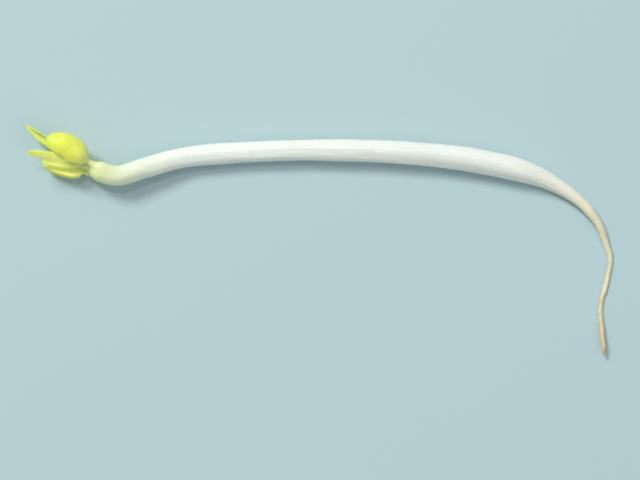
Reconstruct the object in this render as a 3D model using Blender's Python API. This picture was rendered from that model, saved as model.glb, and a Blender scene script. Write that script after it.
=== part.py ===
"""A single mung bean sprout, picked and laid on its side.

Metres, +Z up. The origin is on the surface, under the middle of the sprout's box. The sprout runs along +X,
from the bean at its head to the root at its foot, and arches a little towards +Y. Sizes below are in
millimetres.
"""

import math
from bisect import bisect_right

import bmesh
import bpy
from mathutils import Vector

MM = 0.001
GAP = 0.3
UP = Vector((0, 0, 1))

# Middle line of stem and root seen from above, from the bud to the tip of the root.
ROUTE = (
    (-31.2, -0.2),
    (-28.8, -1.2),
    (-26.0, -1.8),
    (-22.4, -0.7),
    (-17.0, 0.7),
    (-8.0, 1.4),
    (2.0, 1.6),
    (12.0, 1.2),
    (21.5, 0.1),
    (30.0, -2.2),
    (36.2, -6.6),
    (38.9, -13.0),
    (37.6, -19.6),
    (38.2, -25.6),
)
ROUTE_MIDDLE = (0.422, -10.286)
STEPS_PER_STRETCH = 60

# Stem: a slim bud joint, a shoulder that carries the two halves of the bean, a plump shaft, a narrow collar.
BUD_JOINT_LENGTH = 1.6
BUD_JOINT_RADIUS = 0.42
SHOULDER_RUN = 1.5
NECK_RADIUS = 1.27
MIDDLE_RADIUS = 1.33
FULLEST_RADIUS = 1.52
COLLAR_RADIUS = 0.66
MIDDLE_FROM_BUD = 22.0
FULLEST_FROM_BUD = 50.0
STEM_LENGTH = 69.0
COLLAR_TAPER = 12.0
STEM_WIDTH_TO_HEIGHT = 1.04
STEM_SIDES = 20

# Root
ROOT_TIP_RADIUS = 0.28
ROOT_POINT_LENGTH = 1.3
ROOT_TAPER = 9.0
ROOT_SIDES = 12

# Lie on the surface: the underside is pressed flat, the head and the collar stand clear of it.
FLAT_DEPTH = 0.12
HEAD_LIFT = 1.5
HEAD_LIFT_RUN = 18.0
COLLAR_LIFT = 0.5
COLLAR_LIFT_RUN = 9.0
TIP_LIFT = 0.7
TIP_LIFT_RUN = 6.0

# Bean halves
BEAN_LENGTH = 6.6
BEAN_WIDTH = 3.65
BEAN_BACK = 1.65
BEAN_FACE = 0.24
BEAN_STALK_SHARE = 0.1
BEAN_STALK_WIDTH = 0.95
BEAN_STALK_HEIGHT = 0.34
BEAN_KIDNEY_BEND = 0.4
BEAN_OFFSET = 1.1
BEAN_FORWARD = 0.64
BEAN_ROLL = math.radians(52)
UPPER_SPREAD = math.radians(14)
LOWER_SPREAD = math.radians(7)
BEAN_SIDES = 20
BEAN_RINGS = 17

# First leaves
LONG_LEAF = 8.2
SHORT_LEAF = 6.6
LEAF_STALK = 0.24
LEAF_OFFSET = 0.64
LEAF_HALF_WIDTH = 1.15
LEAF_THICKNESS = 0.6
LEAF_TIP_THICKNESS = 0.38
LEAF_FOLD = math.radians(38)
LEAF_RECURVE = 0.5
LEAF_ELBOW = 0.26
LEAF_ELBOW_SHARE = 0.28
LEAF_SPREAD = math.radians(6)
LEAF_LEAN = math.radians(6)
LEAF_POINTS_ACROSS = 7
LEAF_RINGS = 15


def smooth(x):
    """0 below 0, 1 above 1, and an S curve between."""
    x = min(max(x, 0.0), 1.0)
    return x * x * (3 - 2 * x)


def mix(a, b, share):
    return a + (b - a) * share


def dome(x):
    """0 below 0, 1 above 1, and a rounded shoulder between."""
    x = min(max(x, 0.0), 1.0)
    return (1 - (1 - x) ** 2) ** 0.8


def joined(a, b):
    """Two sizes run together, close to the larger one."""
    return (a**3 + b**3) ** (1 / 3)


def spline_point(points, place):
    """A point of the smooth curve through the points, place counting them from 0."""
    i = min(int(place), len(points) - 2)
    t = place - i
    before, start = points[max(i - 1, 0)], points[i]
    end, after = points[i + 1], points[min(i + 2, len(points) - 1)]
    return 0.5 * (
        2 * start
        + (end - before) * t
        + (2 * before - 5 * start + 4 * end - after) * t**2
        + (3 * start - before - 3 * end + after) * t**3
    )


def measured_route():
    """Close points along the route in the part's own frame, and how far from the bud each lies."""
    knots = [Vector(p) - Vector(ROUTE_MIDDLE) for p in ROUTE]
    count = (len(knots) - 1) * STEPS_PER_STRETCH
    places = [spline_point(knots, i / STEPS_PER_STRETCH) for i in range(count + 1)]
    distances = [0.0]
    for a, b in zip(places, places[1:]):
        distances.append(distances[-1] + (b - a).length)
    return places, distances


PLACES, DISTANCES = measured_route()
WHOLE_LENGTH = DISTANCES[-1]


def shaft_radius(d):
    """Radius of stem or root at d from the bud, leaving out the bud joint."""
    if d > STEM_LENGTH:
        return mix(COLLAR_RADIUS, ROOT_TIP_RADIUS, smooth((d - STEM_LENGTH) / ROOT_TAPER) ** 0.7)
    radius = mix(NECK_RADIUS, MIDDLE_RADIUS, smooth(d / MIDDLE_FROM_BUD))
    fullness = smooth((d - MIDDLE_FROM_BUD) / (FULLEST_FROM_BUD - MIDDLE_FROM_BUD))
    radius = mix(radius, FULLEST_RADIUS, fullness)
    return mix(radius, COLLAR_RADIUS, smooth((d - STEM_LENGTH + COLLAR_TAPER) / COLLAR_TAPER))


def stem_radius(d):
    """Radius of the stem with its slim bud joint and the shoulder below it."""
    share = dome((d - BUD_JOINT_LENGTH) / SHOULDER_RUN)
    uneven = 1 + 0.016 * math.sin(d / 2.7 + 0.6) + 0.012 * math.sin(d / 1.3)
    return mix(BUD_JOINT_RADIUS, shaft_radius(d), share) * uneven


def height(d):
    """Height of the middle line at d from the bud."""
    head = HEAD_LIFT * (1 - smooth(d / HEAD_LIFT_RUN))
    collar = COLLAR_LIFT * smooth(1 - abs(d - STEM_LENGTH) / COLLAR_LIFT_RUN)
    tip = TIP_LIFT * smooth((d - WHOLE_LENGTH + TIP_LIFT_RUN) / TIP_LIFT_RUN)
    return shaft_radius(d) - FLAT_DEPTH + head + collar + tip


def axis_point(d):
    """The middle line's point at d from the bud."""
    i = min(max(bisect_right(DISTANCES, d) - 1, 0), len(PLACES) - 2)
    share = (d - DISTANCES[i]) / (DISTANCES[i + 1] - DISTANCES[i])
    plan = PLACES[i].lerp(PLACES[i + 1], share)
    return Vector((plan.x, plan.y, height(d)))


def axis_frame(d):
    """The middle line's point, its direction away from the bud, and the directions across and over it."""
    reach = 0.2
    along = (axis_point(d + reach) - axis_point(d - reach)).normalized()
    across = along.cross(UP).normalized()
    return axis_point(d), along, across, across.cross(along)


def spaced(start, end, step):
    """Distances from start to end, about a step apart."""
    count = max(1, round((end - start) / step))
    return [mix(start, end, i / count) for i in range(count + 1)]


def material(name, colour, roughness):
    made = bpy.data.materials.new(name)
    made.use_nodes = True
    shader = made.node_tree.nodes["Principled BSDF"]
    shader.inputs["Base Color"].default_value = (*colour, 1)
    shader.inputs["Roughness"].default_value = roughness
    shader.inputs["Metallic"].default_value = 0
    return made


def skin(name, rings, finish):
    """One closed body through rings of points in millimetres, none of which is left below the surface.

    Facing sides of a ring are split into triangles the same way, so that a thin blade's two faces match."""
    mesh = bpy.data.meshes.new(name)
    form = bmesh.new()
    loops = []
    for ring in rings:
        raised = [Vector((p.x, p.y, max(p.z, 0.0))) for p in ring]
        loops.append([form.verts.new(p * MM) for p in raised])
    for ring, following in zip(loops, loops[1:]):
        for i, corner in enumerate(ring):
            j = (i + 1) % len(ring)
            if i < len(ring) // 2:
                form.faces.new((corner, ring[j], following[j]))
                form.faces.new((corner, following[j], following[i]))
            else:
                form.faces.new((corner, ring[j], following[i]))
                form.faces.new((ring[j], following[j], following[i]))
    form.faces.new(reversed(loops[0]))
    form.faces.new(loops[-1])
    bmesh.ops.recalc_face_normals(form, faces=form.faces)
    form.to_mesh(mesh)
    form.free()
    mesh.shade_smooth()
    mesh.set_sharp_from_angle(angle=math.radians(50))
    mesh.materials.append(finish)
    piece = bpy.data.objects.new(name, mesh)
    bpy.context.scene.collection.objects.link(piece)
    return piece


def shaft_ring(d, radius, width_to_height, sides):
    centre, _, across, over = axis_frame(d)
    ring = []
    for i in range(sides):
        turn = 2 * math.pi * i / sides - math.pi / 2
        ring.append(
            centre
            + across * (radius * width_to_height * math.cos(turn))
            + over * (radius * math.sin(turn))
        )
    return ring


def make_stem():
    """The white shaft with the bud joint at its upper end, rounded off at the bud."""
    end_dome = 0.3
    hook_end, taper_start = 8.0, STEM_LENGTH - COLLAR_TAPER + 1
    places = spaced(end_dome, 4.0, 0.36)[:-1] + spaced(4.0, hook_end, 0.8)[:-1]
    places += spaced(hook_end, taper_start, 1.35)[:-1]
    places += spaced(taper_start, STEM_LENGTH - GAP / 2, 0.75)
    rings = []
    for share in (0.0, 0.45, 0.8):
        radius = stem_radius(end_dome) * math.sqrt(1 - (1 - share) ** 2 * 0.8)
        rings.append(shaft_ring(end_dome * share, radius, 1.0, STEM_SIDES))
    for d in places:
        rings.append(shaft_ring(d, stem_radius(d), STEM_WIDTH_TO_HEIGHT, STEM_SIDES))
    return skin("stem", rings, material("stem_white", (0.90, 0.91, 0.85), 0.32))


def make_root():
    """The thin root below the collar, wavy, tapering quickly and then slowly to a blunt point."""
    rings = []
    for d in spaced(STEM_LENGTH + GAP / 2, WHOLE_LENGTH - ROOT_POINT_LENGTH, 0.7):
        uneven = 1 + 0.05 * math.sin(d / 0.9)
        rings.append(shaft_ring(d, shaft_radius(d) * uneven, 1.0, ROOT_SIDES))
    for share in (0.35, 0.65, 0.87, 1.0):
        radius = ROOT_TIP_RADIUS * (1 - 0.9 * share**2) ** 0.7
        d = WHOLE_LENGTH - ROOT_POINT_LENGTH * (1 - share)
        rings.append(shaft_ring(d, radius, 1.0, ROOT_SIDES))
    return skin("main_root", rings, material("root_cream", (0.78, 0.70, 0.47), 0.55))


def head_frame():
    """The shoulder's middle, the direction out of the head, and the direction from half to half of the bean."""
    place, along, _, _ = axis_frame(BUD_JOINT_LENGTH + SHOULDER_RUN / 3)
    outward = -along
    level = outward.cross(UP).normalized()
    apart = level * math.cos(BEAN_ROLL) + level.cross(outward) * math.sin(BEAN_ROLL)
    return place, outward, apart


def bean_outline(u):
    """Fullness of a bean half at u along it, and how much of its stalk is left there, both from 0 to 1."""
    v = max(0.0, (u - BEAN_STALK_SHARE) / (1 - BEAN_STALK_SHARE)) ** 0.9
    return (1 - abs(1 - 2 * v) ** 2.2) ** 0.48, 1 - smooth((u - 0.25) / 0.4)


def bean_half(name, side, spread, length_share):
    """One half of the bean on its stalk: a rounded back, a nearly flat face towards the other half."""
    place, outward, apart = head_frame()
    away = apart * side
    along = outward * math.cos(spread) + away * math.sin(spread)
    back = away * math.cos(spread) - outward * math.sin(spread)
    width_way = along.cross(back)
    base = place + away * BEAN_OFFSET + outward * BEAN_FORWARD
    length = BEAN_LENGTH * length_share
    rings = []
    for k in range(BEAN_RINGS):
        u = 0.5 - 0.5 * math.cos(math.pi * (0.02 + 0.96 * k / (BEAN_RINGS - 1)))
        full, stalk = bean_outline(u)
        half_width = joined(BEAN_STALK_WIDTH / 2 * stalk, BEAN_WIDTH / 2 * full)
        back_height = joined(BEAN_STALK_HEIGHT * stalk, BEAN_BACK * full)
        face_height = joined(BEAN_STALK_HEIGHT * stalk, BEAN_FACE * full)
        centre = base + along * (length * u)
        centre += width_way * (BEAN_KIDNEY_BEND * math.sin(math.pi * u) * side)
        ring = []
        for i in range(BEAN_SIDES):
            turn = 2 * math.pi * i / BEAN_SIDES
            rise = back_height if math.sin(turn) > 0 else face_height
            ring.append(
                centre + width_way * (half_width * math.cos(turn)) + back * (rise * math.sin(turn))
            )
        rings.append(ring)
    return skin(name, rings, material(name + "_yellow", (0.83, 0.78, 0.20), 0.42))


def first_leaf(name, side, length):
    """A young leaf folded along its midrib, its open side towards the other leaf of the pair."""
    _, outward, apart = head_frame()
    spread_way = outward.cross(apart) * side
    base = axis_point(0) + outward * GAP + spread_way * LEAF_OFFSET
    lean = outward * math.cos(LEAF_LEAN) + apart * math.sin(LEAF_LEAN)
    along = lean * math.cos(LEAF_SPREAD) + spread_way * math.sin(LEAF_SPREAD)
    inward = -(spread_way - along * spread_way.dot(along)).normalized()
    across = along.cross(inward)
    rings = []
    for k in range(LEAF_RINGS):
        u = k / (LEAF_RINGS - 1)
        blade = smooth((u - LEAF_STALK * 0.7) / 0.3)
        point = math.sqrt(max(0.0, 1 - max(0.0, (u - 0.5) / 0.5) ** 1.7))
        half_width = max(mix(0.3, LEAF_HALF_WIDTH, blade) * point, 0.16)
        outwards = LEAF_ELBOW * smooth(u / LEAF_ELBOW_SHARE) + LEAF_RECURVE * u**2
        centre = base + along * (length * u) - inward * outwards
        thickness = mix(LEAF_THICKNESS, LEAF_TIP_THICKNESS, smooth((u - 0.86) / 0.14))
        under, upper = [], []
        for i in range(LEAF_POINTS_ACROSS):
            q = 2 * i / (LEAF_POINTS_ACROSS - 1) - 1
            rise = half_width * math.sin(LEAF_FOLD) * (math.sqrt(q * q + 0.04) - 0.2)
            place = centre + across * (half_width * math.cos(LEAF_FOLD) * q) + inward * rise
            under.append(place - inward * (thickness / 2))
            upper.append(place + inward * (thickness / 2))
        rings.append(under + upper[::-1])
    return skin(name, rings, material(name + "_green", (0.66, 0.76, 0.16), 0.5))


def clear_scene():
    for thing in list(bpy.data.objects):
        bpy.data.objects.remove(thing, do_unlink=True)


def main():
    clear_scene()
    make_stem()
    make_root()
    bean_half("cotyledon_upper", 1, UPPER_SPREAD, 1.0)
    bean_half("cotyledon_lower", -1, LOWER_SPREAD, 0.94)
    first_leaf("first_leaf_long", 1, LONG_LEAF)
    first_leaf("first_leaf_short", -1, SHORT_LEAF)


main()
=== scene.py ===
"""The looks of a single mung bean sprout lying on its side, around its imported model.

Sizes are in millimetres until a mesh or the camera is made, which are in metres. Floor and lamps are named
in metres. The route and the radii repeat the part's own.

d is a distance along the middle line from the bud, and turn an angle round that line. u is a place along a
bean half or a leaf, from its foot at 0 to its tip at 1, and q a place across it, from -1 to 1.
"""

import math
from bisect import bisect_right

import bpy
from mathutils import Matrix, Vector, noise


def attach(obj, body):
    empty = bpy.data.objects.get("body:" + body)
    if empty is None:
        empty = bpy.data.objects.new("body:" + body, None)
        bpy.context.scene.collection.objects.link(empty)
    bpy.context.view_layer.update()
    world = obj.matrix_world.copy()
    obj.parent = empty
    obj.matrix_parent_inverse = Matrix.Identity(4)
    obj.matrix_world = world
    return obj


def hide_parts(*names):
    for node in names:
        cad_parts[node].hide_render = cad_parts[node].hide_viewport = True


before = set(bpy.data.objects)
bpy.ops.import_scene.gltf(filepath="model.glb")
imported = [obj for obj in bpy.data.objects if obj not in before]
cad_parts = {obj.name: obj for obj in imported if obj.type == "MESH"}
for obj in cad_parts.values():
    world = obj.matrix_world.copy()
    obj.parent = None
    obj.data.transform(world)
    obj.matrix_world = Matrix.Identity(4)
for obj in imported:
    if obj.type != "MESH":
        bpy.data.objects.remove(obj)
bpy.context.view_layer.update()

MM = 0.001
UP = Vector((0, 0, 1))
BODY = "root"

# Middle line of stem and root seen from above, from the bud to the tip of the root
ROUTE = (
    (-31.2, -0.2),
    (-28.8, -1.2),
    (-26.0, -1.8),
    (-22.4, -0.7),
    (-17.0, 0.7),
    (-8.0, 1.4),
    (2.0, 1.6),
    (12.0, 1.2),
    (21.5, 0.1),
    (30.0, -2.2),
    (36.2, -6.6),
    (38.9, -13.0),
    (37.6, -19.6),
    (38.2, -25.6),
)
ROUTE_MIDDLE = (0.422, -10.286)
STEPS_PER_STRETCH = 60

# Stem and root
BUD_JOINT_LENGTH = 1.6
BUD_JOINT_RADIUS = 0.42
SHOULDER_RUN = 1.5
NECK_RADIUS = 1.27
MIDDLE_RADIUS = 1.33
FULLEST_RADIUS = 1.52
COLLAR_RADIUS = 0.66
MIDDLE_FROM_BUD = 22.0
FULLEST_FROM_BUD = 50.0
STEM_LENGTH = 69.0
COLLAR_TAPER = 12.0
STEM_WIDTH_TO_HEIGHT = 1.04
ROOT_TIP_RADIUS = 0.28
ROOT_POINT_LENGTH = 1.3
ROOT_TAPER = 9.0
STEM_SIDES = 96
ROOT_SIDES = 56
SHOULDER_RING_STEP = 0.04
STEM_RING_STEP = 0.14
ROOT_RING_STEP = 0.07

# Rounded ends, and how nearly they close before their small flat caps
END_DOME = 0.3
END_DOME_SHARES = (0.0, 0.15, 0.3, 0.45, 0.6, 0.8)
END_CLOSURE = 0.97
ROOT_POINT_STEP = 0.06

# Slow unevenness of the radius: shares of it, and millimetres of length for each radian
STEM_WAVE = 0.016
STEM_WAVE_RUN = 2.7
STEM_RIPPLE = 0.012
STEM_RIPPLE_RUN = 1.3
ROOT_WAVE = 0.05
ROOT_WAVE_RUN = 0.9

# Relief of the stem, as shares of its radius
SQUARENESS = 0.012
SQUARE_TWIST_RUN = 9.0
LUMP_DEPTH = 0.02
RIDGE_DEPTH = 0.012
DIMPLE_DEPTH = 0.006
GROOVE_DEPTH = 0.045
GROOVE_WIDTH = 0.35
GROOVE_TURN = 0.9
GROOVE_SWING = 0.5
GROOVE_SWING_RUN = 14.0
GROOVE_START = 5.0
GROOVE_FADE_IN = 8.0
GROOVE_FADE_OUT = 10.0
COLLAR_RIBS = 9
COLLAR_RIB_DEPTH = 0.018
COLLAR_RIB_RUN = 8.0

# The shoulder, where the bean stalks and the bud joint stand on the stem
SHOULDER_END = 4.0
STALK_RIDGE = 0.2
STALK_RIDGE_START = 1.5
STALK_RIDGE_RISE = 0.6
STALK_RIDGE_FULL = 2.5
STALK_RIDGE_FADE = 3.6
BUD_FILLET = 0.2
BUD_FILLET_RUN = 0.45
BUD_FILLET_PLACE = 1.65
STALK_FILLET = 0.5
STALK_FILLET_WIDTH = 0.5
STALK_FILLET_DEPTH = 1.3
STALK_FILLET_RUN = 0.9

# The collar, where stem and root overlap and run into each other
COLLAR_OVERLAP = 1.4
COLLAR_SINK = 0.12
COLLAR_CHANGE_RUN = 3.0

# Relief of the root, as shares of its radius, stronger where its end has dried
ROOT_LUMP_DEPTH = 0.07
ROOT_GRAIN_DEPTH = 0.03
ROOT_WRINKLE_DEPTH = 0.08
DRY_END = 9.0
DRY_END_RUN = 8.0
DRY_END_GAIN = 0.9

# Side root bumps, and the root's sideways bends: share, waves per millimetre, and a row of the noise
SIDE_ROOT_BUMPS = 5
SIDE_ROOT_RISE = 0.09
SIDE_ROOT_LENGTH = 0.22
SIDE_ROOT_WIDTH = 0.2
SIDE_ROOT_START = 3.4
SIDE_ROOT_SPACING = 2.9
SIDE_ROOT_TURN = math.radians(270)
SIDE_ROOT_FIRST_TURN = 0.5
ROOT_WANDER = 0.32
ROOT_WANDER_RUN = 7.0
ROOT_BENDS = ((1.0, 0.34, 2.3), (0.3, 0.9, 7.1))

# How the sprout lies
FLAT_DEPTH = 0.12
HEAD_LIFT = 1.5
HEAD_LIFT_RUN = 18.0
COLLAR_LIFT = 0.5
COLLAR_LIFT_RUN = 9.0
TIP_LIFT = 0.7
TIP_LIFT_RUN = 6.0
PRESS_SOFTNESS = 0.02

# Bean halves
BEAN_LENGTH = 6.6
LOWER_BEAN_SHARE = 0.94
BEAN_WIDTH = 3.65
BEAN_BACK = 1.65
BEAN_FACE = 0.24
BEAN_STALK_SHARE = 0.1
BEAN_STALK_WIDTH = 0.95
BEAN_STALK_HEIGHT = 0.34
BEAN_KIDNEY_BEND = 0.4
BEAN_OFFSET = 1.1
BEAN_FORWARD = 0.64
BEAN_ROLL = math.radians(52)
UPPER_SPREAD = math.radians(14)
LOWER_SPREAD = math.radians(7)
BEAN_SIDES = 96
BEAN_RINGS = 130
BEAN_FIRST_RING = 0.02
BEAN_LAST_RING = 0.988
BEAN_ROOTED = 0.17
STALK_DIVE = 0.14
STALK_DIVE_START = 0.04
STALK_FLARE = 0.1
STALK_FLARE_START = -0.11
STALK_FLARE_RUN = 0.16
STALK_FADE_START = 0.25
STALK_FADE_RUN = 0.4

# Powers that place the fullest part of a bean half and round its sides and ends
BEAN_PLACE_POWER = 0.9
BEAN_SIDE_POWER = 2.2
BEAN_END_POWER = 0.48

# Relief of a bean half: its lumps' depths and fineness, wrinkles, a crease on its back, a hollowed face
BEAN_LUMPS = ((0.05, 1), (0.022, 3), (0.008, 8))
BEAN_WRINKLE = 0.016
BEAN_WRINKLE_END = 0.95
BEAN_WRINKLE_FADE = 0.3
BEAN_CREASE = 0.05
BEAN_CREASE_PLACE = 0.2
BEAN_CREASE_WIDTH = 0.14
BEAN_CREASE_END = 0.7
BEAN_CREASE_FADE = 0.5
BEAN_EDGE_WAVE = 0.012
BEAN_HOLLOW = 0.34
BEAN_HOLLOW_START = 0.3
BEAN_HOLLOW_RUN = 0.6
BEAN_FACE_GROOVE = 0.07
BEAN_FACE_GROOVE_WIDTH = 0.12
BEAN_FACE_GROOVE_END = 0.8
BEAN_FACE_GROOVE_FADE = 0.4
BEAN_FACE_LUMPS = 0.06

# First leaves
GAP = 0.3
LONG_LEAF = 8.2
SHORT_LEAF = 6.6
LEAF_STALK = 0.24
LEAF_OFFSET = 0.64
LEAF_HALF_WIDTH = 1.15
LEAF_THICKNESS = 0.24
LEAF_FOLD = math.radians(38)
LEAF_RECURVE = 0.5
LEAF_ELBOW = 0.26
LEAF_ELBOW_SHARE = 0.28
LEAF_SPREAD = math.radians(6)
LEAF_LEAN = math.radians(6)
LEAF_POINTS_ACROSS = 65
LEAF_RINGS = 170
LEAF_ROOTED = 0.1
LEAF_DIVE = 0.36
LEAF_DIVE_END = 0.1
LEAF_STALK_HALF_WIDTH = 0.27
LEAF_STALK_THICKNESS = 0.46
LEAF_BLADE_START = LEAF_STALK * 0.7
LEAF_BLADE_RUN = 0.3
LEAF_TIP_THINNING = 0.45
LEAF_TIP_START = 0.9
LEAF_TIP_RUN = 0.1
LEAF_EDGE_THINNING = 0.98
LEAF_POINT_START = 0.5
LEAF_POINT_POWER = 1.7
LEAF_POINT_HALF_WIDTH = 0.03
LEAF_FOLD_ROUNDING = 0.2
LEAF_EDGE_WAVE = 0.06
LEAF_WAVES = 21
LEAF_UNEVENNESS = 0.05

# Veins of a leaf
MIDRIB_WIDTH = 0.075
VEIN_SPACING = 0.86
VEIN_WIDTH = 0.05
VEIN_STRENGTH = 0.8
VEIN_SLOPE = 0.9
VEIN_BEND = 0.25
VEIN_SLANT = 0.72
VEIN_START = 1.7
VEIN_START_RUN = 0.5
VEIN_EDGE_RUN = 0.22
VEIN_RISE = 0.045
VEIN_SINK = 0.025

# Tip bud and stipules, small spindles between the leaf stalks
SPINDLE_SIDES = 24
SPINDLE_RINGS = 40
SPINDLE_FOOT_SHARE = 0.75
SPINDLE_FOOT_RUN = 0.35
SPINDLE_POINT_SHARE = 0.03
SPINDLE_FURROW = 0.25
SPINDLE_FURROW_WIDTH = 0.3
SPINDLE_RIB = 0.7
SPINDLE_RIB_WIDTH = 0.18
SPINDLE_COLOUR_START = 0.15
SPINDLE_COLOUR_RUN = 0.5
SPINDLE_PATTERN_SHIFT = 5.0
TIP_BUD_LENGTH = 2.3
TIP_BUD_HALF_WIDTH = 0.36
TIP_BUD_HALF_HEIGHT = 0.26
TIP_BUD_PLACE = 0.35
STIPULE_LENGTH = 0.95
STIPULE_HALF_WIDTH = 0.33
STIPULE_HALF_HEIGHT = 0.08
STIPULE_CURL = -0.05
STIPULE_SPLAY = 0.1
STIPULE_PLACE = 0.5
STIPULE_OFFSET = 0.3

# Keeps the patterns of pieces that look alike apart, in millimetres
PATTERN_SHIFT = 20.0

# Where stem and root meet, both have these
COLLAR_COLOUR = (0.82, 0.77, 0.57)
COLLAR_ROUGHNESS = 0.42

# Base colours from the head end, at 0, to the root end or the tip, at 1
STEM_COLOURS = (
    (0.0, (0.74, 0.82, 0.28)),
    (0.02, (0.77, 0.83, 0.36)),
    (0.045, (0.79, 0.85, 0.44)),
    (0.075, (0.82, 0.87, 0.60)),
    (0.13, (0.84, 0.88, 0.75)),
    (0.24, (0.86, 0.89, 0.84)),
    (0.82, (0.86, 0.88, 0.83)),
    (0.94, (0.85, 0.84, 0.72)),
    (1.0, COLLAR_COLOUR),
)
ROOT_COLOURS = (
    (0.0, COLLAR_COLOUR),
    (0.2, (0.81, 0.74, 0.52)),
    (0.7, (0.77, 0.67, 0.42)),
    (0.93, (0.66, 0.51, 0.26)),
    (1.0, (0.45, 0.29, 0.11)),
)
BEAN_COLOURS = (
    (0.0, (0.79, 0.85, 0.45)),
    (0.03, (0.80, 0.86, 0.40)),
    (0.12, (0.82, 0.88, 0.28)),
    (0.35, (0.91, 0.94, 0.14)),
    (0.75, (0.86, 0.92, 0.11)),
    (1.0, (0.66, 0.76, 0.08)),
)
LEAF_COLOURS = (
    (0.0, (0.78, 0.84, 0.40)),
    (0.22, (0.85, 0.92, 0.29)),
    (0.6, (0.84, 0.92, 0.22)),
    (1.0, (0.72, 0.83, 0.14)),
)

# Colours of the faint patterns over them
FIBRE_COLOUR = (0.66, 0.73, 0.64)
CLOUD_COLOUR = (0.74, 0.80, 0.76)
TINGE_COLOUR = (0.74, 0.68, 0.47)
ROOT_PATCH_COLOUR = (0.58, 0.43, 0.21)
ROOT_SPOT_COLOUR = (0.40, 0.26, 0.10)
ROOT_WRINKLE_COLOUR = (0.87, 0.83, 0.66)
BEAN_MOTTLE_COLOUR = (0.66, 0.78, 0.08)
BEAN_GRAIN_COLOUR = (0.93, 0.93, 0.28)
BEAN_SPECK_COLOUR = (0.46, 0.40, 0.07)
BEAN_FACE_COLOUR = (0.90, 0.92, 0.34)
LEAF_MOTTLE_COLOUR = (0.65, 0.78, 0.12)
LEAF_NET_COLOUR = (0.84, 0.88, 0.34)
VEIN_COLOUR = (0.86, 0.90, 0.42)

# Camera, in millimetres: the width that it sees at the sprout's middle height, and its own sizes
PICTURE_WIDTH = 84.0
MIDDLE_HEIGHT = 3.0
LENS = 100.0
SENSOR = 36.0
NEAR_LIMIT = 10.0

# Floor and light: metres, waves per metre, watts and colours
FLOOR_REACH = 2.0
FLOOR_GRAIN = 9000.0
FLOOR_DARK = (0.435, 0.585, 0.612)
FLOOR_LIGHT = (0.45, 0.60, 0.625)
DAYLIGHT = 0.39
DAYLIGHT_COLOUR = (0.94, 0.97, 1.0)
LAMPS = (
    {"name": "key", "place": (-0.80, 0.96, 1.20), "size": 0.56, "power": 20.8, "colour": (1.0, 0.99, 0.97)},
    {"name": "fill", "place": (1.00, -0.60, 1.20), "size": 1.00, "power": 3.4, "colour": (0.95, 0.98, 1.0)},
    {"name": "glint", "place": (-0.24, 0.64, 1.68), "size": 0.12, "power": 3.8, "colour": (1.0, 1.0, 1.0)},
)


def smooth(x):
    """0 below 0, 1 above 1, and an S curve between."""
    x = min(max(x, 0.0), 1.0)
    return x * x * (3 - 2 * x)


def mix(a, b, share):
    """The number that share of the way from a to b."""
    return a + (b - a) * share


def dome(x):
    """0 below 0, 1 above 1, and a rounded shoulder between."""
    x = min(max(x, 0.0), 1.0)
    return (1 - (1 - x) ** 2) ** 0.8


def joined(a, b):
    """Two sizes run together, close to the larger one."""
    return (a**3 + b**3) ** (1 / 3)


def hill(x, width):
    """A bell shape of height 1 at 0."""
    return math.exp(-((x / width) ** 2))


def turned(turn, other):
    """The angle between two turns round a line, from -pi to pi."""
    return math.remainder(turn - other, 2 * math.pi)


def spline_point(points, place):
    """A point of the smooth curve through the points, place counting them from 0."""
    i = min(int(place), len(points) - 2)
    t = place - i
    before, start = points[max(i - 1, 0)], points[i]
    end, after = points[i + 1], points[min(i + 2, len(points) - 1)]
    return 0.5 * (
        2 * start
        + (end - before) * t
        + (2 * before - 5 * start + 4 * end - after) * t**2
        + (3 * start - before - 3 * end + after) * t**3
    )


def measured_route():
    """Close points along the route in the part's own frame, and how far from the bud each lies."""
    knots = [Vector(p) - Vector(ROUTE_MIDDLE) for p in ROUTE]
    count = (len(knots) - 1) * STEPS_PER_STRETCH
    places = [spline_point(knots, i / STEPS_PER_STRETCH) for i in range(count + 1)]
    distances = [0.0]
    for a, b in zip(places, places[1:]):
        distances.append(distances[-1] + (b - a).length)
    return places, distances


PLACES, DISTANCES = measured_route()
WHOLE_LENGTH = DISTANCES[-1]


def shaft_radius(d):
    """Radius of stem or root at d from the bud, leaving out the bud joint."""
    if d > STEM_LENGTH:
        return mix(COLLAR_RADIUS, ROOT_TIP_RADIUS, smooth((d - STEM_LENGTH) / ROOT_TAPER) ** 0.7)
    radius = mix(NECK_RADIUS, MIDDLE_RADIUS, smooth(d / MIDDLE_FROM_BUD))
    fullness = smooth((d - MIDDLE_FROM_BUD) / (FULLEST_FROM_BUD - MIDDLE_FROM_BUD))
    radius = mix(radius, FULLEST_RADIUS, fullness)
    return mix(radius, COLLAR_RADIUS, smooth((d - STEM_LENGTH + COLLAR_TAPER) / COLLAR_TAPER))


def rootness(d):
    """0 on the stem, 1 on the root, and between them over the collar."""
    return smooth((d - STEM_LENGTH + COLLAR_CHANGE_RUN / 2) / COLLAR_CHANGE_RUN)


def plain_radius(d):
    """Radius of the whole shaft with its slim bud joint, its shoulder and its slow unevenness."""
    share = dome((d - BUD_JOINT_LENGTH) / SHOULDER_RUN)
    stem_uneven = STEM_WAVE * math.sin(d / STEM_WAVE_RUN + 0.6)
    stem_uneven += STEM_RIPPLE * math.sin(d / STEM_RIPPLE_RUN)
    root_uneven = ROOT_WAVE * math.sin(d / ROOT_WAVE_RUN)
    uneven = 1 + mix(stem_uneven, root_uneven, rootness(d))
    fillet = BUD_FILLET * max(0.0, 1 - abs(d - BUD_FILLET_PLACE) / BUD_FILLET_RUN) ** 2
    return (mix(BUD_JOINT_RADIUS, shaft_radius(d), share) + fillet) * uneven


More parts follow.
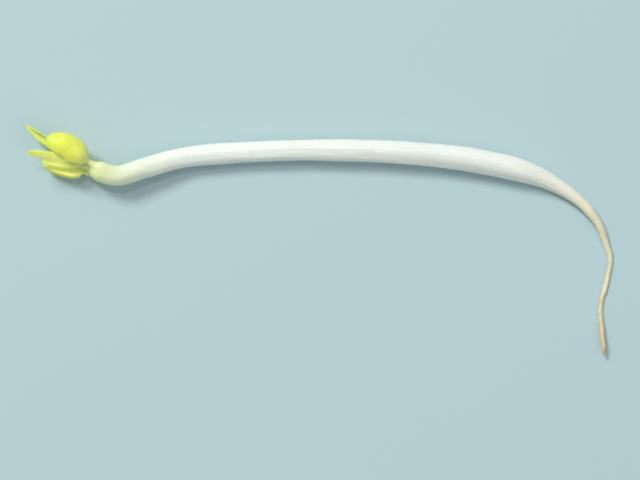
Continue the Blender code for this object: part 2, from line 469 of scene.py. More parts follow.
def height(d):
    """Height of the middle line at d from the bud."""
    head = HEAD_LIFT * (1 - smooth(d / HEAD_LIFT_RUN))
    collar = COLLAR_LIFT * smooth(1 - abs(d - STEM_LENGTH) / COLLAR_LIFT_RUN)
    tip = TIP_LIFT * smooth((d - WHOLE_LENGTH + TIP_LIFT_RUN) / TIP_LIFT_RUN)
    return shaft_radius(d) - FLAT_DEPTH + head + collar + tip


def axis_point(d):
    """The middle line's point at d from the bud."""
    i = min(max(bisect_right(DISTANCES, d) - 1, 0), len(PLACES) - 2)
    share = (d - DISTANCES[i]) / (DISTANCES[i + 1] - DISTANCES[i])
    plan = PLACES[i].lerp(PLACES[i + 1], share)
    return Vector((plan.x, plan.y, height(d)))


def axis_frame(d):
    """The middle line's point, its direction away from the bud, and the directions across and over it."""
    reach = 0.2
    along = (axis_point(d + reach) - axis_point(d - reach)).normalized()
    across = along.cross(UP).normalized()
    return axis_point(d), along, across, across.cross(along)


def spaced(start, end, step):
    """Distances from start to end, about a step apart."""
    count = max(1, round((end - start) / step))
    return [mix(start, end, i / count) for i in range(count + 1)]


def pressed(z):
    """A height softly kept above the surface."""
    return 0.5 * (z + math.sqrt(z * z + PRESS_SOFTNESS**2))


class Body:
    """Rings of points that become one closed mesh.

    Each point keeps its place before the piece was bent, and more numbers, for the materials.
    """

    def __init__(self, name):
        self.name = name
        self.rings = []
        self.straight = []
        self.facts = {}

    def add_ring(self, points, straight, **facts):
        """Adds a ring, the places of its points before bending, and lists of one number a point."""
        self.rings.append(points)
        self.straight += straight
        for fact, values in facts.items():
            self.facts.setdefault(fact, []).extend(values)

    def faces(self):
        """Four-sided faces between the rings, and a cap at each end."""
        sides = len(self.rings[0])
        found = [tuple(range(sides - 1, -1, -1))]
        for k in range(len(self.rings) - 1):
            low, high = k * sides, (k + 1) * sides
            for i in range(sides):
                j = (i + 1) % sides
                found.append((low + i, low + j, high + j, high + i))
        last = (len(self.rings) - 1) * sides
        found.append(tuple(range(last, last + sides)))
        return found

    def finished(self, finish):
        """The piece, with its faces pointing out."""
        points = [(p.x * MM, p.y * MM, pressed(p.z) * MM) for ring in self.rings for p in ring]
        mesh = bpy.data.meshes.new(self.name)
        mesh.from_pydata(points, [], self.faces())
        mesh.shade_smooth()
        place = mesh.attributes.new("straight", "FLOAT_VECTOR", "POINT")
        place.data.foreach_set("vector", [x for p in self.straight for x in p])
        for fact, values in self.facts.items():
            mesh.attributes.new(fact, "FLOAT", "POINT").data.foreach_set("value", values)
        mesh.materials.append(finish)
        if signed_volume(mesh) < 0:
            mesh.flip_normals()
        piece = bpy.data.objects.new(self.name, mesh)
        bpy.context.scene.collection.objects.link(piece)
        return piece


def signed_volume(mesh):
    """Six times a closed mesh's volume, below 0 where its faces point in."""
    volume = 0.0
    for polygon in mesh.polygons:
        corners = [mesh.vertices[i].co for i in polygon.vertices]
        for a, b in zip(corners[1:], corners[2:]):
            volume += corners[0].dot(a.cross(b))
    return volume


class Nodes:
    """A material's node tree, built a node at a time."""

    def __init__(self, name):
        self.material = bpy.data.materials.new(name)
        self.material.use_nodes = True
        self.tree = self.material.node_tree
        self.shader = self.tree.nodes["Principled BSDF"]

    def add(self, kind, **settings):
        """A new node of that kind with its settings."""
        node = self.tree.nodes.new(kind)
        for key, value in settings.items():
            setattr(node, key, value)
        return node

    def feed(self, value, socket):
        """Joins another socket to this one, or sets it to a number or a colour."""
        if isinstance(value, bpy.types.NodeSocket):
            self.tree.links.new(value, socket)
        elif isinstance(value, tuple):
            socket.default_value = (*value, 1)
        else:
            socket.default_value = value

    def fact(self, name):
        """A number that each point of the mesh carries."""
        return self.add("ShaderNodeAttribute", attribute_name=name).outputs["Fac"]

    def straight(self, stretch=(1, 1, 1)):
        """The place before bending, in millimetres, scaled along each way."""
        mapping = self.add("ShaderNodeMapping")
        mapping.inputs["Scale"].default_value = stretch
        place = self.add("ShaderNodeAttribute", attribute_name="straight")
        self.feed(place.outputs["Vector"], mapping.inputs["Vector"])
        return mapping.outputs["Vector"]

    def distance_along(self):
        """The distance along the middle line, in millimetres."""
        parts = self.add("ShaderNodeSeparateXYZ")
        self.feed(self.straight(), parts.inputs[0])
        return parts.outputs["Z"]

    def noise(self, scale, stretch=(1, 1, 1), detail=4.0, roughness=0.55):
        """Noise of that many waves per millimetre."""
        made = self.add("ShaderNodeTexNoise")
        for key, value in (("Scale", scale), ("Detail", detail), ("Roughness", roughness)):
            made.inputs[key].default_value = value
        self.feed(self.straight(stretch), made.inputs["Vector"])
        return made.outputs["Fac"]

    def cell_edges(self, scale, stretch=(1, 1, 1)):
        """Distance from the nearest edge of a net of cells."""
        made = self.add("ShaderNodeTexVoronoi", feature="DISTANCE_TO_EDGE")
        made.inputs["Scale"].default_value = scale
        self.feed(self.straight(stretch), made.inputs["Vector"])
        return made.outputs["Distance"]

    def ramp(self, factor, stops):
        """Colours at places from 0 to 1."""
        made = self.add("ShaderNodeValToRGB")
        ramp = made.color_ramp
        while len(ramp.elements) < len(stops):
            ramp.elements.new(1.0)
        for element, (place, colour) in zip(ramp.elements, stops):
            element.position = place
            element.color = (*colour, 1)
        self.feed(factor, made.inputs["Fac"])
        return made.outputs["Color"]

    def span(self, value, low, high, to_low=0.0, to_high=1.0):
        """Maps low to high onto another span, and holds it there."""
        made = self.add("ShaderNodeMapRange")
        numbers = (("From Min", low), ("From Max", high), ("To Min", to_low), ("To Max", to_high))
        for key, number in numbers:
            made.inputs[key].default_value = number
        self.feed(value, made.inputs["Value"])
        return made.outputs["Result"]

    def blend(self, share, first, second):
        """A colour between two."""
        made = self.add("ShaderNodeMix", data_type="RGBA")
        self.feed(share, made.inputs[0])
        self.feed(first, made.inputs[6])
        self.feed(second, made.inputs[7])
        return made.outputs[2]

    def times(self, first, second):
        """The product of two numbers."""
        made = self.add("ShaderNodeMath", operation="MULTIPLY")
        self.feed(first, made.inputs[0])
        self.feed(second, made.inputs[1])
        return made.outputs[0]

    def weigh(self, share, first, second):
        """A number between two, or between the numbers of two sockets."""
        made = self.add("ShaderNodeMix", data_type="FLOAT")
        self.feed(share, made.inputs[0])
        self.feed(first, made.inputs[2])
        self.feed(second, made.inputs[3])
        return made.outputs[0]

    def bump(self, value, depth, normal=None):
        """Relief that is depth millimetres deep."""
        made = self.add("ShaderNodeBump")
        made.inputs["Distance"].default_value = depth * MM
        self.feed(value, made.inputs["Height"])
        if normal is not None:
            self.feed(normal, made.inputs["Normal"])
        return made.outputs["Normal"]

    def finish(self, colour, roughness, normal, **fixed):
        """Joins the patterns to the shader and sets its plain values."""
        self.feed(colour, self.shader.inputs["Base Color"])
        self.feed(roughness, self.shader.inputs["Roughness"])
        self.feed(normal, self.shader.inputs["Normal"])
        for key, value in fixed.items():
            self.shader.inputs[key.replace("_", " ")].default_value = value
        return self.material


def stem_material():
    """Moist white tissue: a yellow-green head end, faint lengthwise fibres, a cream end at the root.

    Its glow fades at the collar and the shoulder, where pieces overlap: light scattered inside both would
    come out dark.
    """
    n = Nodes("stem_tissue")
    d = n.distance_along()
    base = n.ramp(n.span(d, 0.0, STEM_LENGTH), STEM_COLOURS)
    fibres = n.noise(3.2, (1, 1, 0.045))
    clouds = n.noise(0.35, (1, 1, 0.35))
    before_collar = n.span(d, STEM_LENGTH - 6, STEM_LENGTH - 0.5, 1.0, 0.0)
    past_shoulder = n.span(d, 1.0, SHOULDER_END)
    between = n.times(before_collar, n.span(d, 2.0, 9.0, 0.15, 1.0))
    fibre_share = n.times(n.span(fibres, 0.42, 0.72, 0.0, 0.42), between)
    cloud_share = n.times(n.span(clouds, 0.40, 0.70, 0.0, 0.35), between)
    colour = n.blend(fibre_share, base, FIBRE_COLOUR)
    colour = n.blend(cloud_share, colour, CLOUD_COLOUR)
    tinges = n.noise(0.8, (1, 1, 0.5), detail=2.0)
    tinge_share = n.times(n.span(tinges, 0.60, 0.74, 0.0, 0.3), between)
    colour = n.blend(tinge_share, colour, TINGE_COLOUR)
    wet = n.span(n.noise(1.8, (1, 1, 0.3)), 0.3, 0.7, 0.18, 0.34)
    roughness = n.weigh(before_collar, COLLAR_ROUGHNESS, wet)
    normal = n.bump(fibres, 0.035)
    normal = n.bump(n.noise(9.0, (1, 1, 0.35)), 0.008, normal)
    glow = n.times(n.times(before_collar, past_shoulder), 0.8)
    n.feed(glow, n.shader.inputs["Subsurface Weight"])
    n.feed(n.times(before_collar, 0.4), n.shader.inputs["Coat Weight"])
    return n.finish(
        colour,
        roughness,
        normal,
        Subsurface_Radius=(1.0, 1.0, 0.85),
        Subsurface_Scale=0.9 * MM,
        IOR=1.4,
        Coat_Roughness=0.1,
    )


def root_material():
    """Cream root skin that darkens to tan at the tip, with brown patches and fine lengthwise wrinkles."""
    n = Nodes("root_skin")
    d = n.distance_along()
    base = n.ramp(n.span(d, STEM_LENGTH, WHOLE_LENGTH), ROOT_COLOURS)
    started = n.span(d, STEM_LENGTH + 0.3, STEM_LENGTH + 4)
    patches = n.noise(1.0, (1, 1, 0.4))
    wrinkles = n.noise(4.0, (1, 1, 0.12))
    spots = n.noise(3.6, (1, 1, 0.6), detail=2.0)
    patch_share = n.times(n.span(patches, 0.46, 0.70, 0.0, 0.55), started)
    spot_share = n.times(n.span(spots, 0.66, 0.76, 0.0, 0.45), started)
    wrinkle_share = n.times(n.span(wrinkles, 0.5, 0.75, 0.0, 0.4), started)
    colour = n.blend(patch_share, base, ROOT_PATCH_COLOUR)
    colour = n.blend(spot_share, colour, ROOT_SPOT_COLOUR)
    colour = n.blend(wrinkle_share, colour, ROOT_WRINKLE_COLOUR)
    roughness = n.weigh(started, COLLAR_ROUGHNESS, n.span(patches, 0.3, 0.7, 0.44, 0.6))
    n.feed(n.times(started, 0.6), n.shader.inputs["Subsurface Weight"])
    n.feed(n.times(started, 0.05), n.shader.inputs["Coat Weight"])
    return n.finish(
        colour,
        roughness,
        n.bump(wrinkles, 0.035),
        Subsurface_Radius=(1.0, 0.9, 0.6),
        Subsurface_Scale=0.5 * MM,
        Coat_Roughness=0.25,
    )


def bean_material():
    """Satin yellow seed leaf, greener towards its free end and paler at the stalk, faintly mottled.

    Its glow fades at the stalk, which overlaps the stem's shoulder.
    """
    n = Nodes("bean_flesh")
    base = n.ramp(n.fact("along"), BEAN_COLOURS)
    mottle = n.noise(0.9)
    grain = n.noise(4.5, (1, 1, 0.5))
    specks = n.noise(3.1, detail=2.0)
    colour = n.blend(n.span(mottle, 0.42, 0.68, 0.0, 0.42), base, BEAN_MOTTLE_COLOUR)
    colour = n.blend(n.span(grain, 0.5, 0.8, 0.0, 0.4), colour, BEAN_GRAIN_COLOUR)
    colour = n.blend(n.span(specks, 0.70, 0.78, 0.0, 0.3), colour, BEAN_SPECK_COLOUR)
    colour = n.blend(n.times(n.fact("face"), 0.55), colour, BEAN_FACE_COLOUR)
    roughness = n.span(mottle, 0.3, 0.7, 0.36, 0.52)
    normal = n.bump(grain, 0.03)
    normal = n.bump(n.noise(14.0), 0.01, normal)
    n.feed(n.span(n.fact("along"), 0.02, 0.12, 0.0, 0.5), n.shader.inputs["Subsurface Weight"])
    return n.finish(
        colour,
        roughness,
        normal,
        Subsurface_Radius=(1.0, 0.85, 0.3),
        Subsurface_Scale=0.6 * MM,
        Coat_Weight=0.08,
        Coat_Roughness=0.3,
    )


def leaf_material():
    """Soft yellow-green leaf with paler veins and a fine net between them."""
    n = Nodes("leaf_flesh")
    base = n.ramp(n.fact("along"), LEAF_COLOURS)
    mottle = n.noise(1.8)
    net = n.cell_edges(5.5, (1, 1, 0.7))
    net_share = n.span(net, 0.0, 0.10, 0.16, 0.0)
    colour = n.blend(n.span(mottle, 0.4, 0.7, 0.0, 0.42), base, LEAF_MOTTLE_COLOUR)
    colour = n.blend(net_share, colour, LEAF_NET_COLOUR)
    colour = n.blend(n.times(n.fact("vein"), 0.6), colour, VEIN_COLOUR)
    roughness = n.span(mottle, 0.3, 0.7, 0.40, 0.54)
    normal = n.bump(n.span(net, 0.0, 0.2), 0.006)
    normal = n.bump(n.noise(16.0), 0.005, normal)
    return n.finish(
        colour,
        roughness,
        normal,
        Subsurface_Weight=0.5,
        Subsurface_Radius=(0.8, 1.0, 0.25),
        Subsurface_Scale=0.4 * MM,
    )


def root_wander(d):
    """How far the root strays sideways from the middle line, in millimetres."""
    stray = sum(share * noise.noise(Vector((d * rate, row, 0.0))) for share, rate, row in ROOT_BENDS)
    return ROOT_WANDER * stray * smooth((d - STEM_LENGTH - COLLAR_OVERLAP) / ROOT_WANDER_RUN)


def shaft_ring(body, d, radius_at, width_to_height, sides):
    """Adds a ring round the middle line, where radius_at takes the turn round the line."""
    centre, _, across, over = axis_frame(d)
    centre += across * root_wander(d)
    points, straight = [], []
    for i in range(sides):
        turn = 2 * math.pi * i / sides - math.pi / 2
        radius = radius_at(turn)
        x = radius * width_to_height * math.cos(turn)
        y = radius * math.sin(turn)
        points.append(centre + across * x + over * y)
        straight.append((x, y, d))
    body.add_ring(points, straight)


def stem_relief(d, turn):
    """Share by which the stem's skin leaves its plain round: gently four-sided, grooved and ridged."""
    spot = Vector((math.cos(turn), math.sin(turn), d * 0.12))
    relief = SQUARENESS * math.cos(4 * turn + d / SQUARE_TWIST_RUN)
    relief += LUMP_DEPTH * noise.noise(spot * 1.1)
    relief += RIDGE_DEPTH * noise.noise(Vector((spot.x * 4.5, spot.y * 4.5, d * 0.22)))
    relief += DIMPLE_DEPTH * noise.noise(Vector((spot.x * 2, spot.y * 2, d * 1.4)))
    groove_turn = GROOVE_TURN + GROOVE_SWING * math.sin(d / GROOVE_SWING_RUN)
    groove = GROOVE_DEPTH * hill(turned(turn, groove_turn), GROOVE_WIDTH)
    groove *= smooth((d - GROOVE_START) / GROOVE_FADE_IN) * smooth((STEM_LENGTH - d) / GROOVE_FADE_OUT)
    relief -= groove
    ribs = COLLAR_RIB_DEPTH * math.cos(COLLAR_RIBS * turn + 2 * noise.noise(spot))
    return relief + ribs * smooth((d - STEM_LENGTH + COLLAR_TAPER) / COLLAR_RIB_RUN)


def stalk_ridge(d, turn):
    """Share by which the shoulder stands out below the bean stalks, fading along the stem."""
    facing = max(0.0, math.cos(2 * turned(turn, math.pi - BEAN_ROLL))) ** 1.6
    begins = smooth((d - STALK_RIDGE_START) / STALK_RIDGE_RISE)
    return STALK_RIDGE * facing * begins * (1 - smooth((d - STALK_RIDGE_FULL) / STALK_RIDGE_FADE))


def root_relief(d, turn):
    """Share by which the root's skin leaves its plain round, with fine wrinkles."""
    spot = Vector((math.cos(turn) * 1.5, math.sin(turn) * 1.5, d * 0.7))
    wrinkle = Vector((spot.x * 2.6, spot.y * 2.6, d * 0.5))
    relief = ROOT_LUMP_DEPTH * noise.noise(spot) + ROOT_GRAIN_DEPTH * noise.noise(spot * 3.1)
    relief += ROOT_WRINKLE_DEPTH * noise.noise(wrinkle)
    return relief * (1 + DRY_END_GAIN * smooth((d - WHOLE_LENGTH + DRY_END) / DRY_END_RUN))


def side_root_bumps(d, turn, radius):
    """Height of the small bumps from which side roots would grow, in millimetres."""
    rise = 0.0
    for k in range(SIDE_ROOT_BUMPS):
        place = STEM_LENGTH + SIDE_ROOT_START + SIDE_ROOT_SPACING * k
        away = turned(turn, SIDE_ROOT_TURN * k + SIDE_ROOT_FIRST_TURN) * radius
        rise += SIDE_ROOT_RISE * hill(d - place, SIDE_ROOT_LENGTH) * hill(away, SIDE_ROOT_WIDTH)
    return rise


def shaft_surface(d, turn):
    """How far the skin is from the middle line, for stem and root alike."""
    radius = plain_radius(d)
    relief = mix(stem_relief(d, turn), root_relief(d, turn), rootness(d))
    return radius * (1 + relief + stalk_ridge(d, turn)) + side_root_bumps(d, turn, radius)


def run_into_stalks(point):
    """A point of the shoulder, raised towards the foot of a bean stalk where it is close to one."""
    for side, spread in ((1, UPPER_SPREAD), (-1, LOWER_SPREAD)):
        base, along, back, width_way = stalk_frame(side, spread)
        offset = point - base
        sideways = offset.dot(width_way) / BEAN_STALK_WIDTH * 2
        beside = math.hypot(sideways, offset.dot(back) / BEAN_STALK_HEIGHT)
        gap = max(0.0, beside - 1) * BEAN_STALK_HEIGHT
        near = max(0.0, 1 - gap / STALK_FILLET_WIDTH) ** 3
        high = smooth((offset.dot(along) + STALK_FILLET_DEPTH) / STALK_FILLET_RUN)
        point = point + along * (STALK_FILLET * near * high)
    return point


def make_stem(finish):
    """The stem with its bud joint, from a domed end to a slim end that lies inside the root's."""
    body = Body("stem_skin")
    for share in END_DOME_SHARES:
        radius = plain_radius(END_DOME) * math.sqrt(1 - (1 - share) ** 2 * END_CLOSURE)
        shaft_ring(body, END_DOME * share, lambda turn: radius, 1.0, STEM_SIDES)
    places = spaced(END_DOME, SHOULDER_END, SHOULDER_RING_STEP)[:-1]
    places += spaced(SHOULDER_END, STEM_LENGTH + COLLAR_OVERLAP, STEM_RING_STEP)
    for d in places:
        sink = COLLAR_SINK * max(0.0, d - STEM_LENGTH) / COLLAR_OVERLAP
        before_root = smooth((d - STEM_LENGTH + COLLAR_CHANGE_RUN) / COLLAR_CHANGE_RUN)
        width_to_height = mix(STEM_WIDTH_TO_HEIGHT, 1.0, before_root)
        shaft_ring(body, d, lambda turn: shaft_surface(d, turn) - sink, width_to_height, STEM_SIDES)
        if BUD_JOINT_LENGTH <= d < SHOULDER_END:
            body.rings[-1] = [run_into_stalks(point) for point in body.rings[-1]]
    return body.finished(finish)


def make_root(finish):
    """The root, from a slim end that lies inside the stem's to its point."""
    body = Body("root_skin")
    for d in spaced(STEM_LENGTH - COLLAR_OVERLAP, WHOLE_LENGTH - ROOT_POINT_LENGTH, ROOT_RING_STEP):
        sink = COLLAR_SINK * max(0.0, STEM_LENGTH - d) / COLLAR_OVERLAP
        shaft_ring(body, d, lambda turn: shaft_surface(d, turn) - sink, 1.0, ROOT_SIDES)
    for share in spaced(ROOT_POINT_STEP, 1.0, ROOT_POINT_STEP):
        d = WHOLE_LENGTH - ROOT_POINT_LENGTH * (1 - share)
        left = (1 - END_CLOSURE * share**2) ** 0.7
        shaft_ring(body, d, lambda turn: shaft_surface(d, turn) * left, 1.0, ROOT_SIDES)
    return body.finished(finish)


def head_frame():
    """The shoulder's middle, the direction out of the head, and the one from bean half to bean half."""
    place, along, _, _ = axis_frame(BUD_JOINT_LENGTH + SHOULDER_RUN / 3)
    outward = -along
    level = outward.cross(UP).normalized()
    apart = level * math.cos(BEAN_ROLL) + level.cross(outward) * math.sin(BEAN_ROLL)
    return place, outward, apart


def stalk_frame(side, spread):
    """The foot of a bean stalk, the way that it grows, and the directions to its back and across it."""
    place, outward, apart = head_frame()
    away = apart * side
    along = outward * math.cos(spread) + away * math.sin(spread)
    back = away * math.cos(spread) - outward * math.sin(spread)
    return place + away * BEAN_OFFSET + outward * BEAN_FORWARD, along, back, along.cross(back)


def bean_outline(u):
    """Fullness of a bean half at u along it, and how much of its stalk is left there, both from 0 to 1."""
    v = max(0.0, (u - BEAN_STALK_SHARE) / (1 - BEAN_STALK_SHARE)) ** BEAN_PLACE_POWER
    full = max(0.0, 1 - abs(1 - 2 * v) ** BEAN_SIDE_POWER) ** BEAN_END_POWER
    return full, 1 - smooth((u - STALK_FADE_START) / STALK_FADE_RUN)


def bean_surface(q, rise, full, u, side):
    """Height above the flat between face and back, in millimetres, for a point of a bean half's section."""
    _, stalk = bean_outline(u)
    spot = Vector((q * 1.3, rise * 1.3 + side * 4, u * 3.0))
    if rise > 0:
        back = joined(BEAN_STALK_HEIGHT * stalk, BEAN_BACK * full)
        uneven = sum(depth * noise.noise(spot * fineness) for depth, fineness in BEAN_LUMPS)
        wrinkle = noise.noise(Vector((q * 7, rise * 7 + side * 9, u * 2.2 + q)))
        uneven += BEAN_WRINKLE * wrinkle * smooth((BEAN_WRINKLE_END - u) / BEAN_WRINKLE_FADE)
        crease = BEAN_CREASE * full * hill(q - BEAN_CREASE_PLACE * side, BEAN_CREASE_WIDTH)
        creased = smooth((BEAN_CREASE_END - u) / BEAN_CREASE_FADE)
        return back * rise * (1 + uneven) - crease * creased * smooth(rise * 3)
    face = joined(BEAN_STALK_HEIGHT * stalk, BEAN_FACE * full)
    inner = (1 - q * q) ** 1.4 * smooth((full - BEAN_HOLLOW_START) / BEAN_HOLLOW_RUN)
    groove = BEAN_FACE_GROOVE * hill(q, BEAN_FACE_GROOVE_WIDTH)
    groove *= smooth((BEAN_FACE_GROOVE_END - u) / BEAN_FACE_GROOVE_FADE)
    return face * rise + inner * (BEAN_HOLLOW + groove + BEAN_FACE_LUMPS * noise.noise(spot * 1.6))


def bean_half(name, side, spread, length_share, finish):
    """One half of the bean on its stalk: a rounded, faintly creased back and a hollowed face."""
    base, along, back, width_way = stalk_frame(side, spread)
    _, _, apart = head_frame()
    away = apart * side
    length = BEAN_LENGTH * length_share
    body = Body(name)
    for k in range(BEAN_RINGS):
        t = mix(BEAN_FIRST_RING, BEAN_LAST_RING, k / (BEAN_RINGS - 1))
        u = mix(-BEAN_ROOTED, 1.0, 0.5 - 0.5 * math.cos(math.pi * t))
        full, stalk = bean_outline(u)
        flare = 1 + STALK_FLARE * (1 - smooth((u - STALK_FLARE_START) / STALK_FLARE_RUN)) ** 1.5
        half_width = joined(BEAN_STALK_WIDTH / 2 * stalk, BEAN_WIDTH / 2 * full) * flare
        centre = base + along * (length * u)
        centre += width_way * (BEAN_KIDNEY_BEND * math.sin(math.pi * max(u, 0.0)) * side)
        centre -= away * (STALK_DIVE * smooth((-STALK_DIVE_START - u) / (BEAN_ROOTED - STALK_DIVE_START)))
        points, straight, face = [], [], []
        for i in range(BEAN_SIDES):
            turn = 2 * math.pi * i / BEAN_SIDES
            q, rise = math.cos(turn), math.sin(turn)
            x = half_width * q * (1 + BEAN_EDGE_WAVE * noise.noise(Vector((q * 3, side * 5, u * 6))))
            y = bean_surface(q, rise, full, u, side) * flare
            points.append(centre + width_way * x + back * y)
            straight.append((x, y, length * u + side * PATTERN_SHIFT))
            face.append(smooth(-rise * 4) * full)
        body.add_ring(points, straight, along=[max(u, 0.0)] * BEAN_SIDES, face=face)
    return body.finished(finish)


def vein_at(q, half_width, s, blade):
    """How much of a vein lies at q across the blade, from -1 to 1, and s millimetres along it."""
    w = abs(q) * half_width
    midrib = hill(w, MIDRIB_WIDTH)
    place = (s - VEIN_SLOPE * w - VEIN_BEND * w * w) / VEIN_SPACING
    from_vein = abs(place - round(place)) * VEIN_SPACING * VEIN_SLANT
    fades = smooth((1 - abs(q)) / VEIN_EDGE_RUN) * smooth((s - VEIN_START) / VEIN_START_RUN)
    return max(midrib, VEIN_STRENGTH * hill(from_vein, VEIN_WIDTH) * fades * blade)


def leaf_frame(side):
    """The foot of a first leaf, the way that it grows, and the directions into its fold and across it."""
    _, outward, apart = head_frame()
    spread_way = outward.cross(apart) * side
    base = axis_point(0) + outward * GAP + spread_way * LEAF_OFFSET
    lean = outward * math.cos(LEAF_LEAN) + apart * math.sin(LEAF_LEAN)
    along = lean * math.cos(LEAF_SPREAD) + spread_way * math.sin(LEAF_SPREAD)
    inward = -(spread_way - along * spread_way.dot(along)).normalized()
    return base, along, inward, along.cross(inward)


def leaf_outline(u):
    """At u along a leaf: how much of a blade it is, from 0 to 1, its half width and its thickness."""
    blade = smooth((u - LEAF_BLADE_START) / LEAF_BLADE_RUN)
    pointed = max(0.0, (u - LEAF_POINT_START) / (1 - LEAF_POINT_START)) ** LEAF_POINT_POWER
    point = math.sqrt(max(0.0, 1 - pointed))
    half_width = max(mix(LEAF_STALK_HALF_WIDTH, LEAF_HALF_WIDTH, blade) * point, LEAF_POINT_HALF_WIDTH)
    thickness = mix(LEAF_STALK_THICKNESS, LEAF_THICKNESS, blade)
    thickness *= mix(1.0, LEAF_TIP_THINNING, smooth((u - LEAF_TIP_START) / LEAF_TIP_RUN))
    return blade, half_width, thickness


def leaf_bend(u):
    """How far the midrib stands outwards at u along a leaf, below 0 at the foot inside the bud joint."""
    outwards = LEAF_ELBOW * smooth(u / LEAF_ELBOW_SHARE) + LEAF_RECURVE * max(u, 0.0) ** 2
    return outwards - LEAF_DIVE * (1 - smooth((u + LEAF_ROOTED) / (LEAF_ROOTED + LEAF_DIVE_END)))


def leaf_lift(q, u, side, blade, half_width):
    """How far the blade stands above the midrib at q across it, by its fold and its waves."""
    rounded = math.hypot(q, LEAF_FOLD_ROUNDING) - LEAF_FOLD_ROUNDING
    wave = LEAF_EDGE_WAVE * blade * abs(q) ** 3 * math.sin(LEAF_WAVES * u + side + 2 * q)
    wave += LEAF_UNEVENNESS * blade * noise.noise(Vector((q * 2, u * 7, side * 3)))
    return half_width * math.sin(LEAF_FOLD) * rounded + wave


def first_leaf(name, side, length, finish):
    """A young leaf folded along its midrib, its open side towards the other leaf of the pair."""
    base, along, inward, across = leaf_frame(side)
    body = Body(name)
    for k in range(LEAF_RINGS):
        u = mix(-LEAF_ROOTED, 1.0, k / (LEAF_RINGS - 1))
        blade, half_width, thickness = leaf_outline(u)
        centre = base + along * (length * u) - inward * leaf_bend(u)
        under, upper, under_flat, upper_flat, veins = [], [], [], [], []
        for i in range(LEAF_POINTS_ACROSS):
            share = i / (LEAF_POINTS_ACROSS - 1)
            q = 0.5 * (2 * share - 1) - 0.5 * math.cos(math.pi * share)
            place = centre + across * (half_width * math.cos(LEAF_FOLD) * q)
            place += inward * leaf_lift(q, u, side, blade, half_width)
            vein = vein_at(q, half_width, length * u, blade)
            half = thickness / 2 * math.sqrt(1 - LEAF_EDGE_THINNING * abs(q) ** 6)
            under.append(place - inward * (half + VEIN_RISE * vein))
            upper.append(place + inward * (half - VEIN_SINK * vein * blade))
            under_flat.append((q * half_width, -half, length * u + side * PATTERN_SHIFT))
            upper_flat.append((q * half_width, half, length * u + side * PATTERN_SHIFT))
            veins.append(vein)
        body.add_ring(
            under + upper[::-1],
            under_flat + upper_flat[::-1],
            along=[max(u, 0.0)] * (2 * LEAF_POINTS_ACROSS),
            vein=veins + veins[::-1],
        )
    return body.finished(finish)


def spindle(name, base, way, flat_way, length, half_width, half_height, curl, finish):
    """A small pointed scale or bud from base along way, thin and curled along flat_way."""
    side_way = way.cross(flat_way)
    body = Body(name)
    for k in range(SPINDLE_RINGS):
        u = k / (SPINDLE_RINGS - 1)
        full = (1 - u**1.8) ** 0.8 * mix(SPINDLE_FOOT_SHARE, 1.0, smooth(u / SPINDLE_FOOT_RUN))
        full = max(full, SPINDLE_POINT_SHARE)
        centre = base + way * (length * u) + flat_way * (curl * u * u)
        points, straight, veins = [], [], []
        for i in range(SPINDLE_SIDES):
            turn = 2 * math.pi * i / SPINDLE_SIDES
            x = half_width * full * math.cos(turn)
            furrow = SPINDLE_FURROW * hill(math.cos(turn), SPINDLE_FURROW_WIDTH)
            y = half_height * full * math.sin(turn) * (1 - furrow)
            points.append(centre + side_way * x + flat_way * y)
            straight.append((x + SPINDLE_PATTERN_SHIFT, y, length * u))
            veins.append(SPINDLE_RIB * hill(math.cos(turn), SPINDLE_RIB_WIDTH))
        colour_place = SPINDLE_COLOUR_START + SPINDLE_COLOUR_RUN * u
        body.add_ring(points, straight, along=[colour_place] * SPINDLE_SIDES, vein=veins)
    return body.finished(finish)


def make_tip_bud(finish):
    """The folded tip of the shoot between the stalks of the first leaves."""
    _, outward, apart = head_frame()
    base, flat_way = axis_point(TIP_BUD_PLACE), outward.cross(apart)
    size = (TIP_BUD_LENGTH, TIP_BUD_HALF_WIDTH, TIP_BUD_HALF_HEIGHT)
    return spindle("tip_bud", base, outward, flat_way, *size, 0.0, finish)


def make_stipule(name, side, finish):
    """A small pointed scale at the foot of the leaf stalks."""
    _, outward, apart = head_frame()
    away = apart * side
    way = (outward + away * STIPULE_SPLAY).normalized()
    flat_way = (away - way * away.dot(way)).normalized()
    base = axis_point(STIPULE_PLACE) + away * STIPULE_OFFSET
    size = (STIPULE_LENGTH, STIPULE_HALF_WIDTH, STIPULE_HALF_HEIGHT)
    return spindle(name, base, way, flat_way, *size, STIPULE_CURL, finish)


def make_floor():
    """A plain pale blue-grey surface with a very fine grain."""
    mesh = bpy.data.meshes.new("floor")
    corners = [(x * FLOOR_REACH, y * FLOOR_REACH, 0) for x, y in ((-1, -1), (1, -1), (1, 1), (-1, 1))]
    mesh.from_pydata(corners, [], [(0, 1, 2, 3)])
    n = Nodes("floor_card")
    grain = n.add("ShaderNodeTexNoise")
    grain.inputs["Scale"].default_value = FLOOR_GRAIN
    n.feed(n.add("ShaderNodeTexCoord").outputs["Object"], grain.inputs["Vector"])
    colour = n.ramp(grain.outputs["Fac"], ((0.3, FLOOR_DARK), (0.7, FLOOR_LIGHT)))
    roughness = n.span(grain.outputs["Fac"], 0.3, 0.7, 0.6, 0.7)
    mesh.materials.append(n.finish(colour, roughness, n.bump(grain.outputs["Fac"], 0.003)))
    floor = bpy.data.objects.new("floor", mesh)
    bpy.context.scene.collection.objects.link(floor)


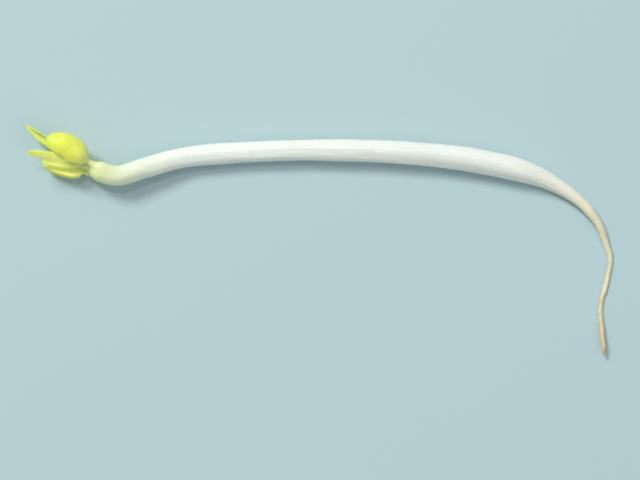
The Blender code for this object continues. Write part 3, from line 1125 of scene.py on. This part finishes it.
def make_camera():
    """Straight down on the sprout, the way that the photograph faces it, with the head on the left."""
    data = bpy.data.cameras.new("camera")
    data.lens = LENS
    data.sensor_width = SENSOR
    data.clip_start = NEAR_LIMIT * MM
    camera = bpy.data.objects.new("camera", data)
    camera.location = (0, 0, (PICTURE_WIDTH / SENSOR * LENS + MIDDLE_HEIGHT) * MM)
    bpy.context.scene.collection.objects.link(camera)
    bpy.context.scene.camera = camera


def make_light(name, place, size, power, colour):
    """A round lamp that faces the sprout."""
    data = bpy.data.lights.new(name, "AREA")
    data.shape = "DISK"
    data.size = size
    data.energy = power
    data.color = colour
    light = bpy.data.objects.new(name, data)
    light.location = place
    light.rotation_euler = (-Vector(place)).to_track_quat("-Z", "Y").to_euler()
    bpy.context.scene.collection.objects.link(light)


def make_studio():
    """Soft even daylight, a large lamp at the upper left, a weaker one opposite, a small one for gloss."""
    world = bpy.data.worlds.new("studio")
    world.use_nodes = True
    background = world.node_tree.nodes["Background"]
    background.inputs["Color"].default_value = (*DAYLIGHT_COLOUR, 1)
    background.inputs["Strength"].default_value = DAYLIGHT
    bpy.context.scene.world = world
    for lamp in LAMPS:
        make_light(**lamp)
    view = bpy.context.scene.view_settings
    view.view_transform = "Standard"
    view.look = "None"


def dress():
    """Every piece of the sprout, riding on the part, and the solid that it stands for."""
    bean, leaf = bean_material(), leaf_material()
    dressed = (
        (make_stem(stem_material()), "stem", "stem"),
        (make_root(root_material()), "main_root", "root"),
        (bean_half("bean_upper", 1, UPPER_SPREAD, 1.0, bean), "cotyledon_upper", "bean"),
        (bean_half("bean_lower", -1, LOWER_SPREAD, LOWER_BEAN_SHARE, bean), "cotyledon_lower", "bean"),
        (first_leaf("leaf_long", 1, LONG_LEAF, leaf), "first_leaf_long", "leaf"),
        (first_leaf("leaf_short", -1, SHORT_LEAF, leaf), "first_leaf_short", "leaf"),
        (make_tip_bud(leaf), None, "leaf"),
        (make_stipule("stipule_upper", 1, leaf), None, "leaf"),
        (make_stipule("stipule_lower", -1, leaf), None, "leaf"),
    )
    for piece, node, slot in dressed:
        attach(piece, BODY)
        if node:
            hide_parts(node)


make_camera()
make_studio()
make_floor()
dress()
